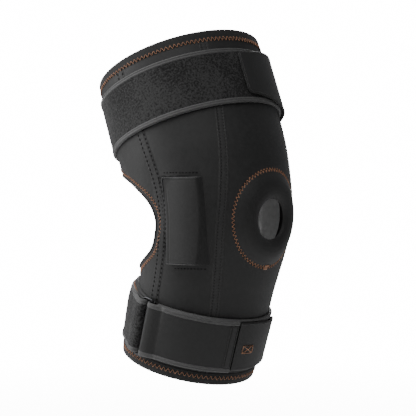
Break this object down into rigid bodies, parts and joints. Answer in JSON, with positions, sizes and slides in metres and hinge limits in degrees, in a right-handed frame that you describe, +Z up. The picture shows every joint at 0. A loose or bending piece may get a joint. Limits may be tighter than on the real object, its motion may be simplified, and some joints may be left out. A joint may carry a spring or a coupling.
{
  "type": "hinged knee brace",
  "caption": "Neoprene knee sleeve with open kneecap and popliteal openings, side hinges in sewn pockets and two hook-and-loop straps, shaped as on a slightly bent knee.",
  "frame": {"origin": "knee centre: the point on the hinge axis midway between the two side hinges", "axes": "+Z up the upright leg, -Y to the front of the knee, X along the hinge axis with the strap ring on the -X side"},
  "size_m": [0.1559, 0.179, 0.3025],
  "materials": {
    "neoprene": "matt knitted nylon face on foam neoprene",
    "hem_binding": "folded fabric hem with copper coloured zigzag stitching",
    "pocket_fabric": "brushed fabric cover",
    "strap_loop": "brushed loop elastic",
    "strap_smooth": "smooth woven webbing",
    "hook_tape": "nylon hook tape",
    "buttress_foam": "soft foam ring",
    "hinge_aluminium": "satin anodised",
    "hinge_steel": "plain steel",
    "washer_nylon": "white nylon",
    "ring_wire": "dark polished steel wire"
  },
  "bodies": {
    "thigh": {"thigh_front_panel": "neoprene", "thigh_right_panel": "neoprene", "thigh_left_panel": "neoprene", "thigh_rear_panel": "neoprene", "thigh_rear_edge": "neoprene", "thigh_hem": "hem_binding", "knee_front_panel": "neoprene", "knee_right_panel": "neoprene", "knee_left_panel": "neoprene", "patella_buttress": "buttress_foam", "right_hinge_pocket": "pocket_fabric", "left_hinge_pocket": "pocket_fabric", "right_hinge_thigh_arm": "hinge_aluminium", "left_hinge_thigh_arm": "hinge_aluminium", "right_hinge_rivet": "hinge_steel", "left_hinge_rivet": "hinge_steel", "right_hinge_washer": "washer_nylon", "left_hinge_washer": "washer_nylon", "right_hinge_stop_pin": "hinge_steel", "left_hinge_stop_pin": "hinge_steel", "upper_strap": "strap_loop", "upper_strap_end": "strap_loop"},
    "shin": {"shin_front_panel": "neoprene", "shin_right_panel": "neoprene", "shin_left_panel": "neoprene", "calf_flap": "neoprene", "calf_flap_edge": "neoprene", "shin_hem": "hem_binding", "right_hinge_shin_arm": "hinge_aluminium", "left_hinge_shin_arm": "hinge_aluminium", "lower_strap": "strap_loop", "lower_strap_return": "strap_smooth"},
    "upper_tab": {"upper_strap_tab": "strap_smooth", "upper_strap_hook": "hook_tape"},
    "lower_tab": {"lower_strap_tab": "strap_smooth", "lower_strap_hook": "hook_tape"},
    "ring": {"lower_strap_ring": "ring_wire"}
  },
  "joints": [
    {"name": "knee_flexion", "type": "hinge", "parent": "thigh", "child": "shin", "pos_m": [0, 0, 0], "axis": [1, 0, 0], "range_deg": [-35, 50], "deforming": ["knee_front_panel", "knee_right_panel", "knee_left_panel", "patella_buttress", "thigh_rear_edge", "calf_flap_edge", "right_hinge_pocket", "left_hinge_pocket"]},
    {"name": "upper_tab_peel", "type": "hinge", "parent": "thigh", "child": "upper_tab", "pos_m": [0.06983, 0.00817, 0.10905], "axis": [0.0123, 0.3359, 0.9418], "range_deg": [0, 95]},
    {"name": "lower_tab_peel", "type": "hinge", "parent": "shin", "child": "lower_tab", "pos_m": [-0.01809, -0.02389, -0.1079], "axis": [0.0089, 0.2888, -0.9573], "range_deg": [0, 95]},
    {"name": "ring_swing", "type": "hinge", "parent": "shin", "child": "ring", "pos_m": [-0.06482, 0.04296, -0.08998], "axis": [0, -0.2588, 0.9659], "range_deg": [-4, 4]}
  ]
}
